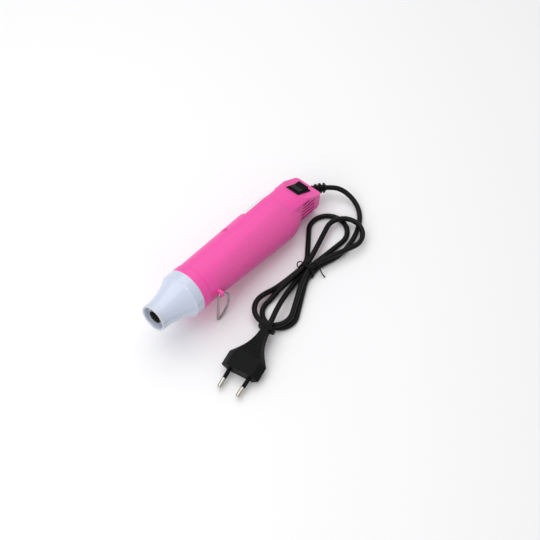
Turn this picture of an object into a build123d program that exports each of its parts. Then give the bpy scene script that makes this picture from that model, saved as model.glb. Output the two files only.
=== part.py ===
from build123d import *
import math
import os

os.makedirs("parts", exist_ok=True)

# Embossing heat tool, resting on a table on its wire stand with the nozzle raised.
# The long axis is modelled along X, with the nozzle's tip at zero and the cord's end at +X;
# +Y is the tool's left side, and the finished tool is tipped up and stood on the table.

# Overall lengths along the tool, all measured back from the nozzle's tip
nozzle_length = 40.4
collar_length = 8.2
tool_length = 203.0
grip_end = 152.0
shoulder_end = 172.0
lip_length = 8.0

# Radii of the barrel and the nozzle
collar_radius = 20.9
tip_radius = 12.5
cone_mid_radius = 14.1
cone_back_radius = 20.3
front_radius = 20.9
neck_radius = 20.3
grip_radius = 23.1
shoulder_radius = 16.0
shoulder_bend_share = 0.62
shoulder_bulge = 1.2
shell_wall = 2.0
nozzle_wall = 1.9
edge_round = 0.8
round_share = 0.3
fit_gap = 0.1
cut_over = 2.0

# Rear head: a narrow housing under the barrel's line, with a sloping top for the switch
head_half_width = 15.0
head_drop = 3.6
head_top = 24.0
head_tuck = 0.3
slope_angle = 24.5
slope_inset = 17.5
slope_middle = tool_length - slope_inset
slope_height = 16.0
head_corner = 4.0
head_start = 154.0

# Clamp for the cord inside the head
clamp_inset = 11.0
clamp_middle = tool_length - clamp_inset
clamp_width = 5.0
clamp_height = 10.6
clamp_thickness = 2.4
clamp_screw_radius = 1.1
clamp_screw_spread = 4.0
clamp_screw_depth = 6.0
clamp_head_height = 1.4

# How the tool lies
rest_pitch = 6.1


def turned(outline):
    """Turn a closed outline of (distance from tip, radius) points about the long axis."""
    face = make_face(Plane.XZ * Polyline(*outline, close=True))
    return revolve(face, Axis.X)


def ring(start, end, inner, outer):
    """A plain ring about the long axis, between two distances from the tip."""
    return turned([(start, inner), (end, inner), (end, outer), (start, outer)])


def rod(start, end, radius, y=0, z=0):
    """A solid rod along the long axis."""
    length = end - start
    return Pos((start + end) / 2, y, z) * Rot(0, 90, 0) * Cylinder(radius, length)


# Barrel and head outlines, shared by the outside and the inside of the shells
def barrel(inset):
    """The barrel as one turned form, drawn in by an inset from its outside."""
    start = nozzle_length if inset == 0 else nozzle_length - cut_over
    lip_end = nozzle_length + lip_length
    neck_step = front_radius - neck_radius
    bend = grip_end + (shoulder_end - grip_end) * shoulder_bend_share
    with BuildPart() as body:
        with BuildSketch(Plane.XZ):
            with BuildLine():
                Line((start, 0), (start, front_radius - inset))
                Line((start, front_radius - inset), (lip_end, front_radius - inset))
                Line((lip_end, front_radius - inset), (lip_end + neck_step, neck_radius - inset))
                Line((lip_end + neck_step, neck_radius - inset), (grip_end, grip_radius - inset))
                ThreePointArc(
                    (grip_end, grip_radius - inset),
                    (bend, (grip_radius + shoulder_radius) / 2 + shoulder_bulge - inset),
                    (shoulder_end - inset, shoulder_radius - inset))
                Line((shoulder_end - inset, shoulder_radius - inset), (shoulder_end - inset, 0))
                Line((shoulder_end - inset, 0), (start, 0))
            make_face()
        revolve(axis=Axis.X)
    return body.part


def head(inset):
    """The narrow rear housing: half round below, straight sides, square rear."""
    radius = head_half_width - inset
    start = head_start if inset == 0 else head_start - cut_over
    end = tool_length - inset
    tube = Pos((start + end) / 2, 0, -head_drop) * Rot(0, 90, 0) * Cylinder(radius, end - start)
    block_height = head_top + head_drop
    block = Pos((start + end) / 2, 0, block_height / 2 - head_drop) * Box(
        end - start, 2 * radius, block_height)
    body = (tube + block) & rod(start, end, grip_radius - head_tuck - inset)
    rear = body.faces().sort_by(Axis.X)[-1]
    rounding = head_corner if inset == 0 else head_corner - inset
    return fillet(rear.edges().filter_by(Axis.Z), rounding)


def under_slope(inset):
    """Everything below the sloping top of the head."""
    size = tool_length * 2
    lowered = slope_height - inset / math.cos(math.radians(slope_angle))
    return Pos(slope_middle, 0, lowered) * Rot(0, slope_angle, 0) * Pos(0, 0, -size / 2) * Box(
        size, size, size)


def housing(inset):
    """The whole body, drawn in by an inset."""
    return (barrel(inset) + head(inset)) & under_slope(inset)


# Where the switch sits: a frame whose x runs down the slope and whose z stands out of it
slope_plane = Plane(
    origin=(slope_middle, 0, slope_height),
    x_dir=(math.cos(math.radians(slope_angle)), 0, -math.sin(math.radians(slope_angle))),
    z_dir=(math.sin(math.radians(slope_angle)), 0, math.cos(math.radians(slope_angle))))

# Rocker switch, a standard snap-in one
switch_window_length = 17.2
switch_window_width = 11.2
switch_side_wall = 0.9
switch_border = 0.7
switch_body_length = switch_window_length + 2 * switch_side_wall
switch_body_width = switch_window_width + 2 * switch_side_wall
switch_length = switch_body_length + 2 * switch_border
switch_width = switch_body_width + 2 * switch_border
switch_body_depth = 12.0
switch_rim = 1.3
switch_floor = 2.0
rocker_end_clearance = 0.3
rocker_side_clearance = 0.25
rocker_radius = switch_window_length / 2 - rocker_end_clearance
rocker_width = switch_window_width - 2 * rocker_side_clearance
rocker_angle = 9.0
rocker_pivot_depth = 1.2
rocker_middle_height = 2.3
rocker_underside = 4.2
rocker_pin_radius = 1.2
rocker_pin_clearance = 0.05
rocker_pin_reach = 0.8
terminal_width = 4.8
terminal_thickness = 0.8
terminal_length = 7.0
terminal_pitch = 7.0

# Air slots in the head, the top one shorter
slot_pitch = 4.5
slot_width = 1.9
slot_length = 18.0
slot_short_length = 9.0
slot_overrun = 0.3
slot_top = 13.4
slot_inset = 19.0
slot_middle = tool_length - slot_inset
slot_count = 5

# Stand: a wire loop hinged in a lug on the right side
lug_offset = 17.0
lug_middle = nozzle_length + lug_offset
lug_width = 2.6
lug_height = 5.6
lug_rise = 1.8
hinge_reach = 23.7
wire_radius = 1.1
wire_clearance = 0.08
wire_leg_gap = 1.4
wire_bend = 1.8
loop_depth = 13.2
loop_foot_run = 4.8
loop_foot_lift = 0.55
loop_foot_bend = 5.0
loop_back_bend = 12.0
loop_upper_share = 0.3
loop_lower_share = 0.65

# Screws that join the shells, as (distance from tip, height)
screw_radius = 1.3
screw_head_radius = 2.6
screw_head_height = 1.8
screw_sink = 4.0
post_radius = 2.9
screw_depth = 9.0
front_screw_offset = 10.0
front_screw_height = 15.6
middle_screw_offset = 9.0
middle_screw_depth = 15.0
rear_screw_offset = 8.5
rear_screw_depth = 13.0

# Heater in the front
outlet_radius = 5.9
tube_wall = 0.6
tube_recess = 2.5
tube_neck_end = 16.0
tube_cone_end = 28.0
tube_radius = 12.0
tube_end = 92.0
web_depth = 6.0
web_thickness = 1.6
spigot_length = 7.9
bracket_start = tube_end
bracket_thickness = 1.2
spigot_radius = front_radius - shell_wall - fit_gap
spigot_end = nozzle_length + spigot_length
mica_thickness = 0.6
coil_wire_radius = 0.6
coil_clearance = 1.2
coil_radius = tube_radius - tube_wall - mica_thickness - coil_clearance - coil_wire_radius
coil_offset = 8.0
coil_start = tube_cone_end + coil_offset
coil_length = 48.0
coil_pitch = 8.0
cutout_thickness = 4.0
cutout_length = 9.0
cutout_width = 4.0

# Fan and motor
fan_offset = 15.0
fan_start = bracket_start + fan_offset
fan_length = 9.0
guide_inset = 0.9
guide_radius = neck_radius - guide_inset
fan_clearance = 0.8
fan_radius = guide_radius - fan_clearance
fan_hub_radius = 6.5
blade_count = 7
blade_thickness = 1.1
blade_chord_share = 1.1
blade_pitch = 38.0
shaft_radius = 1.0
shaft_clearance = 0.06
motor_gap = 6.0
motor_start = fan_start + fan_length + motor_gap
motor_length = 26.0
motor_radius = 12.0
motor_cap_length = 3.0
boss_radius = 3.2
boss_length = 2.2
guide_offset = 1.0
guide_start = motor_start + guide_offset
guide_length = 16.0
guide_wall = 1.6
vane_count = 5
vane_thickness = 1.4
rib_width = 2.0
board_gap = 1.6
board_radius = 10.5
board_thickness = 1.6
terminal_place_share = 0.7
terminal_post_width = 2.4
diode_radius = 1.3
diode_length = 5.0
diode_spread = 5.6

# Cord and strain relief
cord_radius = 2.4
relief_core_radius = 3.1
relief_ring_radius = 5.2
relief_ring_taper = 0.1
relief_ring_width = 1.7
relief_ring_pitch = 3.7
relief_ring_count = 5
relief_flange_radius = 6.2
relief_flange_width = 1.8
relief_run = 3.2
relief_bend_radius = 20.0
relief_bend_angle = 42.0
relief_end_run = 2.0

# Cord, hank and tie
cord_gap = 0.6
tie_thickness = 0.8
tie_gap = 0.15
tie_end_radius = 1.0
tie_width = 4.0
waist_x = 39.3
waist_y = -47.8
waist_half = 7.0
waist_joint = 2.6
lane_bend = 14.4
leg_bend = 40.0
turn_share = 0.97
bend_share = 0.45
lead_first_run = 7.2
lead_last_run = 8.8
tail_first_run = 8.5
plug_last_run = 7.5
sample_step = 2.0
sample_skip = 12
tie_end_runs = [(1.2, -3.2), (3.4, -5.6), (6.6, -6.6)]
tie_end_drop_share = 0.62

# Plug
plug_neck_place = (-32.0, -63.9, 12.6)
plug_turn = 11.5
plug_dip = 7.0
plug_length = 48.0
plug_width = 35.3
plug_thickness = 13.7
plug_bevel = 5.6
plug_prism_depth = 14.0
plug_neck_length = 31.0
plug_edge = 0.5
flange_width = 15.4
flange_height = 9.4
flange_length = 3.4
flange_corner = 3.0
groove_start = 17.5
groove_pitch = 2.8
groove_width = 1.1
groove_depth = 0.6
groove_count = 6
pin_radius = 2.0
pin_core_radius = 1.5
sleeve_radius = 1.8
pin_reach = 19.0
sleeve_reach = 10.0
pin_inset = 7.0
sleeve_inset = 1.0
pin_spread = 18.6
pin_spread_tips = 17.5
pin_tip_round = 1.2

nodes = {}

# The two shells: the whole outside less a hollow that leaves ribs, screw posts and a saddle
outer_form = housing(0)
inner_form = housing(shell_wall)
guide_end = guide_start + guide_length
bracket_radius = neck_radius - shell_wall - fit_gap
screw_places = [
    (bracket_start + front_screw_offset, front_screw_height),
    (bracket_start + front_screw_offset, -front_screw_height),
    (grip_end + middle_screw_offset, -middle_screw_depth),
    (tool_length - rear_screw_offset, -rear_screw_depth)]
hollow = inner_form
rib_places = [
    (guide_start, guide_radius),
    (guide_end - rib_width, guide_radius),
    (bracket_start - rib_width, bracket_radius - rib_width),
    (bracket_start + bracket_thickness, bracket_radius - rib_width)]
for start, inner in rib_places:
    hollow -= ring(start, start + rib_width, inner, grip_radius + cut_over)
for x, z in screw_places:
    hollow -= Pos(x, 0, z) * Rot(90, 0, 0) * Cylinder(post_radius, 4 * grip_radius)
exit_height = -head_drop
saddle = Pos(clamp_middle, cord_radius, exit_height) * Box(
    clamp_width, head_half_width, clamp_height, align=(Align.CENTER, Align.MIN, Align.CENTER))
hollows = {1: hollow - saddle, -1: hollow}


def shell_half(side):
    """One shell: side is 1 for left (+Y) and -1 for right (-Y)."""
    size = tool_length * 2
    half = (outer_form - hollows[side]) & Pos(0, side * size / 2, 0) * Box(size, size, size)
    for x, z in screw_places:
        if side > 0:
            half -= Pos(x, 0, z) * Rot(90, 0, 0) * Cylinder(screw_radius + fit_gap, 2 * size)
            sunk = Pos(x, size / 2 + screw_sink, z) * Rot(90, 0, 0) * Cylinder(
                screw_head_radius + 2 * fit_gap, size)
            half -= sunk
        else:
            half -= Pos(x, 0, z) * Rot(90, 0, 0) * Cylinder(screw_radius, 2 * screw_depth)
    return half


def slot_cut(side, x_start, length, z):
    """A round-ended slot through one side wall of the head."""
    inner = head_half_width - shell_wall - slot_overrun
    outline = Plane.XZ * Pos(x_start + length / 2, z) * SlotOverall(length, slot_width)
    bar = extrude(outline, head_half_width, dir=(0, side, 0))
    return Pos(0, side * inner, 0) * bar


left_shell = shell_half(1)
right_shell = shell_half(-1)
for row in range(slot_count):
    length = slot_short_length if row == 0 else slot_length
    slot_start = slot_middle - slot_length / 2
    slot_height = slot_top - row * slot_pitch
    left_shell -= slot_cut(1, slot_start, length, slot_height)
    right_shell -= slot_cut(-1, slot_start, length, slot_height)

# The switch's cut-out through the sloping top
switch_hole = slope_plane * Box(
    switch_body_length + 2 * fit_gap, switch_body_width + 2 * fit_gap, 4 * shell_wall)
left_shell -= switch_hole
right_shell -= switch_hole

# The cord's hole in the rear wall, with a groove for the strain relief's flange
rear_hole = rod(tool_length - head_half_width, tool_length + cut_over, relief_core_radius + fit_gap,
                z=exit_height)
left_shell -= rear_hole
right_shell -= rear_hole

# The stand's lug, a rounded ear with a bore along the tool
lug_root = neck_radius - shell_wall / 2
lug = Pos(lug_middle, -(lug_root + hinge_reach) / 2, lug_rise) * Box(
    lug_width, hinge_reach - lug_root, lug_height)
lug += rod(lug_middle - lug_width / 2, lug_middle + lug_width / 2, lug_height / 2,
           y=-hinge_reach, z=lug_rise)
lug_bore = rod(lug_middle - lug_width, lug_middle + lug_width, wire_radius + wire_clearance,
               y=-hinge_reach, z=lug_rise)
right_shell = right_shell + (lug - ring(0, tool_length, 0, neck_radius - shell_wall / 2)) - lug_bore
nodes["left_shell"] = left_shell
nodes["right_shell"] = right_shell

# Nozzle shroud: collar band, hollow-backed cone and a spigot inside the shells
cone_start = nozzle_length - collar_length
with BuildPart() as shroud_part:
    with BuildSketch(Plane.XZ):
        with BuildLine():
            Line((0, tip_radius - nozzle_wall + edge_round), (0, tip_radius - edge_round))
            ThreePointArc((0, tip_radius - edge_round),
                          (edge_round * round_share, tip_radius - edge_round * round_share),
                          (edge_round, tip_radius))
            ThreePointArc((edge_round, tip_radius), (cone_start / 2, cone_mid_radius),
                          (cone_start - edge_round, cone_back_radius))
            Line((cone_start - edge_round, cone_back_radius), (cone_start, collar_radius))
            Line((cone_start, collar_radius), (nozzle_length, collar_radius))
            Line((nozzle_length, collar_radius), (nozzle_length, spigot_radius))
            Line((nozzle_length, spigot_radius), (spigot_end, spigot_radius))
            Line((spigot_end, spigot_radius), (spigot_end, spigot_radius - nozzle_wall))
            Line((spigot_end, spigot_radius - nozzle_wall),
                 (cone_start - nozzle_wall, cone_back_radius - nozzle_wall))
            ThreePointArc((cone_start - nozzle_wall, cone_back_radius - nozzle_wall),
                          (cone_start / 2, cone_mid_radius - nozzle_wall),
                          (edge_round, tip_radius - nozzle_wall))
            Line((edge_round, tip_radius - nozzle_wall), (0, tip_radius - nozzle_wall + edge_round))
        make_face()
    revolve(axis=Axis.X)
tube_hole = outlet_radius + tube_wall + fit_gap
web = ring(web_depth, web_depth + web_thickness, tube_hole, tip_radius - nozzle_wall / 2)
rear_web = ring(spigot_end - web_thickness, spigot_end, tube_radius + fit_gap,
                spigot_radius - nozzle_wall / 2)
nodes["nozzle_shroud"] = shroud_part.part + web + rear_web

# Heater tube: narrow mouth, cone and a wide part that holds the element
neck_outside = outlet_radius + tube_wall
nodes["heat_tube"] = turned([
    (tube_recess, outlet_radius), (tube_recess, neck_outside),
    (tube_neck_end, neck_outside), (tube_cone_end, tube_radius),
    (tube_end, tube_radius), (tube_end, tube_radius - tube_wall),
    (tube_cone_end, tube_radius - tube_wall), (tube_neck_end, outlet_radius)])

# Mica lining and the crossed mica cards that carry the element
sleeve_start = tube_cone_end + tube_wall
sleeve_outer = tube_radius - tube_wall
sleeve_inner = sleeve_outer - mica_thickness
nodes["mica_sleeve"] = ring(sleeve_start, tube_end, sleeve_inner, sleeve_outer)
card_length = tube_end - sleeve_start
card_middle = (sleeve_start + tube_end) / 2
upright_card = Pos(card_middle, 0, 0) * Box(card_length, mica_thickness, 2 * sleeve_inner)
flat_card = Pos(card_middle, 0, 0) * Box(card_length, 2 * sleeve_inner, mica_thickness)
notch_depth = sleeve_inner - coil_radius - coil_wire_radius
coil_room = ring(coil_start - coil_wire_radius, coil_start + coil_length + coil_wire_radius,
                 coil_radius - coil_wire_radius - fit_gap, sleeve_inner + cut_over)
nodes["mica_cards"] = ((upright_card + flat_card) & rod(sleeve_start, tube_end, sleeve_inner)) - coil_room

# Heating element: a coil wound round the cards
coil_turns = round(coil_length / coil_pitch)
coil_path = Pos(coil_start, 0, 0) * Rot(0, 90, 0) * Helix(
    pitch=coil_pitch, height=coil_turns * coil_pitch, radius=coil_radius)
coil_section = Plane(origin=coil_path @ 0, z_dir=coil_path % 0) * Circle(coil_wire_radius)
nodes["heating_coil"] = sweep(coil_section, path=coil_path, is_frenet=True)

# Steel ring that carries the heater's rear end between the shells' ribs
bracket = ring(bracket_start, bracket_start + bracket_thickness,
               tube_radius - tube_wall - mica_thickness, bracket_radius)
for corner in range(vane_count + 1):
    hole = Pos(bracket_start, 0, 0) * Rot(corner * 360 / (vane_count + 1), 0, 0) * Pos(
        0, 0, (tube_radius + bracket_radius) / 2) * Rot(0, 90, 0) * Cylinder(
        (bracket_radius - tube_radius) / 4, 4 * bracket_thickness)
    bracket -= hole
nodes["heater_bracket"] = bracket

# Thermal cut-out strapped against the bracket's rear face
cutout_start = bracket_start + bracket_thickness
cutout = Pos(cutout_start + cutout_thickness / 2, 0, -(tube_radius - cutout_width / 2)) * Box(
    cutout_thickness, cutout_length, cutout_width)
nodes["thermal_cutout"] = cutout

# Motor: can, rear cap, front bush and a turning shaft with the fan
motor_end = motor_start + motor_length
cap_end = motor_end + motor_cap_length
shaft_hole = shaft_radius + shaft_clearance
nodes["motor_can"] = ring(motor_start, motor_end, shaft_hole, motor_radius)
nodes["motor_cap"] = ring(motor_end, cap_end, shaft_hole, motor_radius - tube_wall)
nodes["motor_bush"] = ring(motor_start - boss_length, motor_start, shaft_hole, boss_radius)
nodes["motor_shaft"] = rod(fan_start, cap_end, shaft_radius)

hub = ring(fan_start, fan_start + fan_length, shaft_radius, fan_hub_radius)
blades = []
for index in range(blade_count):
    reach = fan_radius - fan_hub_radius / 2
    blade = Rot(index * 360 / blade_count, 0, 0) * Pos(
        fan_start + fan_length / 2, 0, (fan_radius + fan_hub_radius / 2) / 2) * Rot(
        0, 0, blade_pitch) * Box(blade_thickness, fan_length * blade_chord_share, reach)
    blades.append(blade)
fan = hub + blades
fan = fan & ring(fan_start - cut_over, fan_start + fan_length + cut_over, shaft_radius, fan_radius)
nodes["fan_impeller"] = fan

# Air guide: a cage that holds the motor in the middle of the barrel
sleeve_ring = ring(guide_start, guide_end, motor_radius, motor_radius + guide_wall)
outer_ring = ring(guide_start, guide_end, guide_radius - guide_wall, guide_radius)
guide = sleeve_ring + outer_ring
for index in range(vane_count):
    vane_reach = guide_radius - motor_radius - guide_wall
    vane = Rot(index * 360 / vane_count + 360 / vane_count / 2, 0, 0) * Pos(
        (guide_start + guide_end) / 2, 0, (guide_radius + motor_radius) / 2) * Box(
        guide_length, vane_thickness, vane_reach)
    guide += vane
nodes["air_guide"] = guide

# Round rectifier board on the motor's two terminals
board_start = cap_end + board_gap
board = ring(board_start, board_start + board_thickness, boss_radius, board_radius)
nodes["rectifier_board"] = board
nodes["motor_terminals"] = Compound([
    Pos((cap_end + board_start) / 2, side * board_radius * terminal_place_share, 0) * Box(
        board_gap, terminal_thickness, terminal_post_width) for side in (-1, 1)])
diode_places = [(-1, -1), (-1, 1), (1, -1), (1, 1)]
nodes["diodes"] = Compound([
    Pos(board_start + board_thickness + diode_radius, side_y * diode_spread, side_z * diode_spread)
    * Rot(90, 0, 0) * Cylinder(diode_radius, diode_length)
    for side_y, side_z in diode_places])

# Switch housing, rocker and terminals, in the slope's own frame
rim = Box(switch_length, switch_width, switch_rim, align=(Align.CENTER, Align.CENTER, Align.MIN))
rim = chamfer(rim.faces().sort_by(Axis.Z)[-1].edges(), edge_round)
case = Box(switch_body_length, switch_body_width, switch_body_depth,
           align=(Align.CENTER, Align.CENTER, Align.MAX))
window_depth = switch_rim + switch_body_depth - switch_floor
window = Pos(0, 0, switch_rim) * Box(
    switch_window_length, switch_window_width, window_depth,
    align=(Align.CENTER, Align.CENTER, Align.MAX))
pin_hole = Pos(0, 0, -rocker_pivot_depth) * Rot(90, 0, 0) * Cylinder(
    rocker_pin_radius + rocker_pin_clearance, switch_window_width + 2 * rocker_pin_reach + 2 * fit_gap)
nodes["switch_housing"] = slope_plane * (rim + case - window - pin_hole)

rocker_slope = math.tan(math.radians(rocker_angle))
rocker_outline = make_face(Plane.XZ * Polyline(
    (-rocker_radius, -rocker_underside),
    (rocker_radius, -rocker_underside),
    (rocker_radius, rocker_middle_height + rocker_radius * rocker_slope),
    (0, rocker_middle_height),
    (-rocker_radius, rocker_middle_height + rocker_radius * rocker_slope), close=True))
rocker_disc = Plane.XZ * Pos(0, -rocker_pivot_depth) * Circle(rocker_radius)
rocker_body = extrude(rocker_outline & rocker_disc, rocker_width / 2, both=True)
rocker_pins = Pos(0, 0, -rocker_pivot_depth) * Rot(90, 0, 0) * Cylinder(
    rocker_pin_radius, switch_window_width + 2 * rocker_pin_reach)
rocker_pivot = Pos(0, 0, -rocker_pivot_depth)
tilted = rocker_pivot * Rot(0, -rocker_angle, 0) * Pos(0, 0, rocker_pivot_depth) * (
    rocker_body + rocker_pins)
nodes["switch_rocker"] = slope_plane * tilted
nodes["switch_terminals"] = slope_plane * Compound([
    Pos(step * terminal_pitch, 0, -switch_body_depth - terminal_length / 2) * Box(
        terminal_thickness, terminal_width, terminal_length) for step in (-1, 0, 1)])

# Shell screws, heads sunk in the left shell
screws = []
for x, z in screw_places:
    screw_head = Pos(x, screw_sink + screw_head_height / 2, z) * Rot(90, 0, 0) * Cylinder(
        screw_head_radius, screw_head_height)
    shank_length = screw_sink + screw_depth - fit_gap
    shank = Pos(x, screw_sink - shank_length / 2, z) * Rot(90, 0, 0) * Cylinder(
        screw_radius - fit_gap / 2, shank_length)
    screws.append(screw_head + shank)
nodes["shell_screws"] = Compound(screws)

# Cord clamp: a bar and two screws that press the cord onto a saddle of the left shell
nodes["cord_clamp"] = Pos(clamp_middle, -cord_radius - clamp_thickness / 2, exit_height) * Box(
    clamp_width, clamp_thickness, clamp_height)
clamp_screws = []
for side in (-1, 1):
    z = exit_height + side * clamp_screw_spread
    pilot_length = 2 * (clamp_thickness + cord_radius + clamp_screw_depth)
    pilot = Pos(clamp_middle, 0, z) * Rot(90, 0, 0) * Cylinder(
        clamp_screw_radius + fit_gap / 2, pilot_length)
    nodes["left_shell"] -= pilot & Pos(clamp_middle, 0, z) * Box(
        clamp_width, 2 * (cord_radius + clamp_screw_depth), clamp_height)
    nodes["cord_clamp"] -= pilot
    bolt_head = Pos(clamp_middle, -cord_radius - clamp_thickness - clamp_head_height / 2, z) * Rot(
        90, 0, 0) * Cylinder(2 * clamp_screw_radius, clamp_head_height)
    bolt_length = clamp_thickness + cord_radius + clamp_screw_depth - fit_gap
    bolt = Pos(clamp_middle, -cord_radius - clamp_thickness + bolt_length / 2, z) * Rot(
        90, 0, 0) * Cylinder(clamp_screw_radius, bolt_length)
    clamp_screws.append(bolt_head + bolt)
nodes["clamp_screws"] = Compound(clamp_screws)

# Stand: one bent wire whose ends turn into the lug's bore and whose foot reaches the table
pitch = math.radians(rest_pitch)


def resting_level(x, z):
    """Height of a point of the tool once it is tipped, before it is stood on the table."""
    return -x * math.sin(pitch) + z * math.cos(pitch)


table_level = resting_level(tool_length - head_corner, head_corner - head_drop - head_half_width)
table_level -= head_corner
front_leg_x = lug_middle - lug_width / 2 - wire_leg_gap
rear_leg_x = lug_middle + lug_width / 2 + wire_leg_gap
foot_z = (table_level + wire_radius + front_leg_x * math.sin(pitch)) / math.cos(pitch)
leg = lug_rise - foot_z
wire_points = [
    (lug_middle - fit_gap, lug_rise),
    (front_leg_x, lug_rise),
    (front_leg_x, foot_z),
    (front_leg_x + loop_foot_run, foot_z + loop_foot_lift),
    (front_leg_x + loop_depth, lug_rise - leg * loop_lower_share),
    (front_leg_x + loop_depth, lug_rise - leg * loop_upper_share),
    (rear_leg_x, lug_rise),
    (lug_middle + fit_gap, lug_rise)]
wire_path = FilletPolyline(
    *[(x, -hinge_reach, z) for x, z in wire_points],
    radius=[wire_bend, wire_bend, loop_foot_bend, loop_back_bend, loop_back_bend, wire_bend])
wire_section = Plane(origin=wire_path @ 0, z_dir=wire_path % 0) * Circle(wire_radius)
nodes["stand_loop"] = sweep(wire_section, path=wire_path)

# Strain relief: a bent core with rings, and a flange inside the rear wall
relief_start = Vector(tool_length, 0, exit_height)
bend_angle = math.radians(relief_bend_angle)
bend_start = relief_start + Vector(relief_run, 0, 0)
bend_end = bend_start + Vector(relief_bend_radius * math.sin(bend_angle),
                               -relief_bend_radius * (1 - math.cos(bend_angle)), 0)
relief_end_way = Vector(math.cos(bend_angle), -math.sin(bend_angle), 0)
relief_end = bend_end + relief_end_way * relief_end_run
relief_flange_x = tool_length - shell_wall - relief_flange_width
with BuildLine() as relief_line:
    Line((relief_flange_x, 0, exit_height), bend_start)
    TangentArc(bend_start, bend_end, tangent=(1, 0, 0))
    Line(bend_end, relief_end)
relief_path = relief_line.wire()
relief_section = Plane(origin=relief_path @ 0, z_dir=relief_path % 0) * Circle(relief_core_radius)
relief = sweep(relief_section, path=relief_path)
relief += rod(relief_flange_x, relief_flange_x + relief_flange_width, relief_flange_radius, z=exit_height)
relief_length = relief_path.length
for index in range(relief_ring_count):
    along = relief_length - relief_end_run - index * relief_ring_pitch
    spot = relief_path.location_at(along, position_mode=PositionMode.LENGTH)
    radius = relief_ring_radius - (relief_ring_count - 1 - index) * relief_ring_taper
    collar = Plane(origin=spot.position, z_dir=relief_path.tangent_at(
        along, position_mode=PositionMode.LENGTH)) * Cylinder(radius, relief_ring_width)
    relief += fillet(collar.edges(), relief_ring_width / 3)
nodes["strain_relief"] = relief

# The cord's inner end, from the strain relief to the clamp
nodes["inner_cord"] = rod(clamp_middle - clamp_width, relief_flange_x, cord_radius, z=exit_height)

# Tip the tool up and stand it on the table, with the origin under the middle of its own box
cord_nodes = ["strain_relief", "cord_lead", "cord_hank", "cord_tail", "cord_tie",
              "plug_body", "plug_pins", "plug_sleeves"]
tip_up = Rot(0, rest_pitch, 0)
placed = {name: tip_up * solid for name, solid in nodes.items()}
tool_box = Compound([solid for name, solid in placed.items() if name not in cord_nodes]).bounding_box()
stand_on = Pos(-tool_box.center().X, -tool_box.center().Y, -tool_box.min.Z)
placed = {name: stand_on * solid for name, solid in placed.items()}
rest = stand_on * tip_up
print("shift", stand_on.position, "box", tool_box.size)
relief_exit = (rest * Pos(relief_end)).position
exit_way = (rest * Pos(relief_end + relief_end_way)).position - relief_exit
print("cord exit", relief_exit, "direction", exit_way)
hinge = (rest * Pos(lug_middle, -hinge_reach, lug_rise)).position
print("stand hinge", hinge)
rocker_at = (rest * slope_plane.location * Pos(0, 0, -rocker_pivot_depth)).position
print("rocker pivot", rocker_at)
fan_at = (rest * Pos(fan_start, 0, 0)).position
print("fan", fan_at)
print("outlet", (rest * Pos(tube_recess, 0, 0)).position)

# Mains cord: the lead is laid by hand from the strain relief to the hank, the hank's loops
# come from the sizes below, and the tail is laid by hand from the hank to the plug
cord_width = 2 * cord_radius
lane_step = (cord_width + cord_gap) / 2
lane_low = cord_radius + tie_thickness + tie_gap
lane_high = lane_low + math.sqrt((cord_width + cord_gap) ** 2 - lane_step ** 2)
cord_on_table = cord_radius
cord_crossing = 3 * cord_radius + cord_gap

# Lanes through the tie, as (steps to the left of its middle, height)
lanes = {
    "low_left": (2, lane_low), "high_left": (1, lane_high), "low_middle": (0, lane_low),
    "high_right": (-1, lane_high), "low_right": (-2, lane_low)}

# Loops in the order of the cord: side of the tie, middle and radius of the end turn, lane in
# and lane out, then how far along and how high each leg's own bend is, and the turn's height
loops = [
    (-1, (-9.8, -58.2), 15.0, "low_right", "high_left", (0.3, 2.6), cord_on_table, (0.45, 7.4)),
    (1, (91.3, -49.0), 16.8, "high_left", "high_right", (0.5, 7.9), cord_crossing, (0.17, 9.2)),
    (-1, (-12.4, -53.8), 16.8, "high_right", "low_left", (0.5, 8.0), cord_crossing, (0.4, 2.8)),
    (1, (86.8, -34.0), 17.6, "low_left", "low_middle", (0.3, 2.6), cord_on_table, (0.3, 2.6))]


def lane_point(name, along):
    """A point of a lane, at a distance past the tie's middle."""
    step, height = lanes[name]
    return Vector(waist_x + along, waist_y + step * lane_step, height)


def leg_corner(start, middle, radius, side, left, height):
    """Where a leg that grazes the end turn's circle meets the line across its far end."""
    across = Vector(middle[0] - start.X, middle[1] - start.Y, 0)
    graze = math.asin(radius / across.length)
    heading = math.atan2(across.Y, across.X) + side * left * graze
    far = middle[0] + side * radius
    return Vector(far, start.Y + (far - start.X) * math.tan(heading), height)


def leg_station(start, corner, share_height):
    """The leg's own bend, a share of the way from the tie and at its own height."""
    share, height = share_height
    spot = start + (corner - start) * share
    return Vector(spot.X, spot.Y, height)


def loop_route(side, middle, radius, lane_in, lane_out, out_bend, turn_height, back_bend):
    """Corners of one loop, out from the tie and back to it, each with its bend's radius."""
    start = lane_point(lane_in, side * waist_half)
    end = lane_point(lane_out, side * waist_half)
    first = leg_corner(start, middle, radius, side, side, turn_height)
    last = leg_corner(end, middle, radius, side, -side, turn_height)
    bend = radius * turn_share
    return [
        (start, lane_bend), (leg_station(start, first, out_bend), leg_bend), (first, bend),
        (last, bend), (leg_station(end, last, back_bend), leg_bend), (end, lane_bend)]


hank_route = [(lane_point("low_right", waist_joint), 0)]
for loop in loops:
    hank_route += loop_route(*loop)
hank_route.append((lane_point("low_middle", -waist_joint), 0))

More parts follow.
